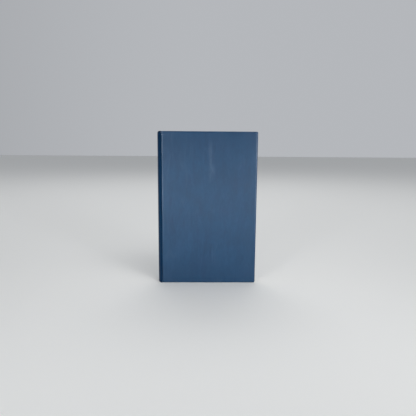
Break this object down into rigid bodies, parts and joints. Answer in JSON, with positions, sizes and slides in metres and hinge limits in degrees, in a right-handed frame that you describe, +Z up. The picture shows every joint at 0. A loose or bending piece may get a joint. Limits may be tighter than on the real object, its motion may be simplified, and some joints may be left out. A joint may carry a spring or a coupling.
{
  "type": "pilot logbook",
  "caption": "Upright hardcover pilot logbook in navy leather with a rounded spine, hinged covers and page gatherings that fan out.",
  "frame": {"origin": "under the middle of the standing book, on the plane that its covers stand on", "axes": "+Z up along the spine, +X from the spine towards the fore edge, -Y out of the front cover"},
  "size_m": [0.1484, 0.02, 0.23],
  "materials": {
    "navy_leather": "semi-gloss bookbinding leather, navy, mottled",
    "binders_board": "grey binder's board",
    "endpaper": "smooth cream endpaper",
    "page_paper": "uncoated cream paper",
    "binding_cloth": "open cotton cloth and tape",
    "kraft_lining": "brown kraft paper",
    "band_thread": "blue and cream stitched band"
  },
  "bodies": {
    "book_block": {"spine_leather": "navy_leather", "spine_card": "binders_board", "spine_lining": "kraft_lining", "spine_mull": "binding_cloth", "sewn_spine_block": "page_paper", "headband": "band_thread", "tailband": "band_thread", "sewing_tape_1": "binding_cloth", "sewing_tape_2": "binding_cloth", "sewing_tape_3": "binding_cloth", "sewing_tape_4": "binding_cloth"},
    "front_cover": {"front_board": "binders_board", "front_cover_leather": "navy_leather", "front_pastedown": "endpaper", "front_mull_flange": "binding_cloth", "front_tape_end_1": "binding_cloth", "front_tape_end_2": "binding_cloth", "front_tape_end_3": "binding_cloth", "front_tape_end_4": "binding_cloth"},
    "back_cover": {"back_board": "binders_board", "back_cover_leather": "navy_leather", "back_pastedown": "endpaper", "back_mull_flange": "binding_cloth", "back_tape_end_1": "binding_cloth", "back_tape_end_2": "binding_cloth", "back_tape_end_3": "binding_cloth", "back_tape_end_4": "binding_cloth"},
    "front_flyleaf": {"front_flyleaf": "endpaper"},
    "back_flyleaf": {"back_flyleaf": "endpaper"},
    "signature_01": {"signature_01": "page_paper"},
    "signature_02": {"signature_02": "page_paper"},
    "signature_03": {"signature_03": "page_paper"},
    "signature_04": {"signature_04": "page_paper"},
    "signature_05": {"signature_05": "page_paper"},
    "signature_06": {"signature_06": "page_paper"},
    "signature_07": {"signature_07": "page_paper"},
    "signature_08": {"signature_08": "page_paper"},
    "signature_09": {"signature_09": "page_paper"},
    "signature_10": {"signature_10": "page_paper"},
    "signature_11": {"signature_11": "page_paper"},
    "signature_12": {"signature_12": "page_paper"}
  },
  "joints": [
    {"name": "front_cover_hinge", "type": "hinge", "parent": "book_block", "child": "front_cover", "pos_m": [-0.06825, -0.01, 0.115], "axis": [0, 0, -1], "range_deg": [0, 180]},
    {"name": "back_cover_hinge", "type": "hinge", "parent": "book_block", "child": "back_cover", "pos_m": [-0.06825, 0.01, 0.115], "axis": [0, 0, 1], "range_deg": [0, 180]},
    {"name": "front_flyleaf_turn", "type": "hinge", "parent": "book_block", "child": "front_flyleaf", "pos_m": [-0.066, -0.0061, 0.115], "axis": [0, 0, -1], "range_deg": [0, 98]},
    {"name": "back_flyleaf_turn", "type": "hinge", "parent": "book_block", "child": "back_flyleaf", "pos_m": [-0.066, 0.0061, 0.115], "axis": [0, 0, 1], "range_deg": [0, 98]},
    {"name": "signature_01_turn", "type": "hinge", "parent": "book_block", "child": "signature_01", "pos_m": [-0.066, -0.0059, 0.115], "axis": [0, 0, -1], "range_deg": [0, 84]},
    {"name": "signature_02_turn", "type": "hinge", "parent": "book_block", "child": "signature_02", "pos_m": [-0.066, -0.00492, 0.115], "axis": [0, 0, -1], "range_deg": [0, 70]},
    {"name": "signature_03_turn", "type": "hinge", "parent": "book_block", "child": "signature_03", "pos_m": [-0.066, -0.00393, 0.115], "axis": [0, 0, -1], "range_deg": [0, 56]},
    {"name": "signature_04_turn", "type": "hinge", "parent": "book_block", "child": "signature_04", "pos_m": [-0.066, -0.00295, 0.115], "axis": [0, 0, -1], "range_deg": [0, 42]},
    {"name": "signature_05_turn", "type": "hinge", "parent": "book_block", "child": "signature_05", "pos_m": [-0.066, -0.00197, 0.115], "axis": [0, 0, -1], "range_deg": [0, 28]},
    {"name": "signature_06_turn", "type": "hinge", "parent": "book_block", "child": "signature_06", "pos_m": [-0.066, -0.00098, 0.115], "axis": [0, 0, -1], "range_deg": [0, 14]},
    {"name": "signature_07_turn", "type": "hinge", "parent": "book_block", "child": "signature_07", "pos_m": [-0.066, 0.00098, 0.115], "axis": [0, 0, 1], "range_deg": [0, 14]},
    {"name": "signature_08_turn", "type": "hinge", "parent": "book_block", "child": "signature_08", "pos_m": [-0.066, 0.00197, 0.115], "axis": [0, 0, 1], "range_deg": [0, 28]},
    {"name": "signature_09_turn", "type": "hinge", "parent": "book_block", "child": "signature_09", "pos_m": [-0.066, 0.00295, 0.115], "axis": [0, 0, 1], "range_deg": [0, 42]},
    {"name": "signature_10_turn", "type": "hinge", "parent": "book_block", "child": "signature_10", "pos_m": [-0.066, 0.00393, 0.115], "axis": [0, 0, 1], "range_deg": [0, 56]},
    {"name": "signature_11_turn", "type": "hinge", "parent": "book_block", "child": "signature_11", "pos_m": [-0.066, 0.00492, 0.115], "axis": [0, 0, 1], "range_deg": [0, 70]},
    {"name": "signature_12_turn", "type": "hinge", "parent": "book_block", "child": "signature_12", "pos_m": [-0.066, 0.0059, 0.115], "axis": [0, 0, 1], "range_deg": [0, 84]}
  ],
  "couplings": [
    {"joint": "front_flyleaf_turn", "follows": "front_cover_hinge", "ratio": 0.54444},
    {"joint": "back_flyleaf_turn", "follows": "back_cover_hinge", "ratio": 0.54444},
    {"joint": "signature_01_turn", "follows": "front_cover_hinge", "ratio": 0.46667},
    {"joint": "signature_02_turn", "follows": "front_cover_hinge", "ratio": 0.38889},
    {"joint": "signature_03_turn", "follows": "front_cover_hinge", "ratio": 0.31111},
    {"joint": "signature_04_turn", "follows": "front_cover_hinge", "ratio": 0.23333},
    {"joint": "signature_05_turn", "follows": "front_cover_hinge", "ratio": 0.15556},
    {"joint": "signature_06_turn", "follows": "front_cover_hinge", "ratio": 0.077778},
    {"joint": "signature_07_turn", "follows": "back_cover_hinge", "ratio": 0.077778},
    {"joint": "signature_08_turn", "follows": "back_cover_hinge", "ratio": 0.15556},
    {"joint": "signature_09_turn", "follows": "back_cover_hinge", "ratio": 0.23333},
    {"joint": "signature_10_turn", "follows": "back_cover_hinge", "ratio": 0.31111},
    {"joint": "signature_11_turn", "follows": "back_cover_hinge", "ratio": 0.38889},
    {"joint": "signature_12_turn", "follows": "back_cover_hinge", "ratio": 0.46667}
  ]
}
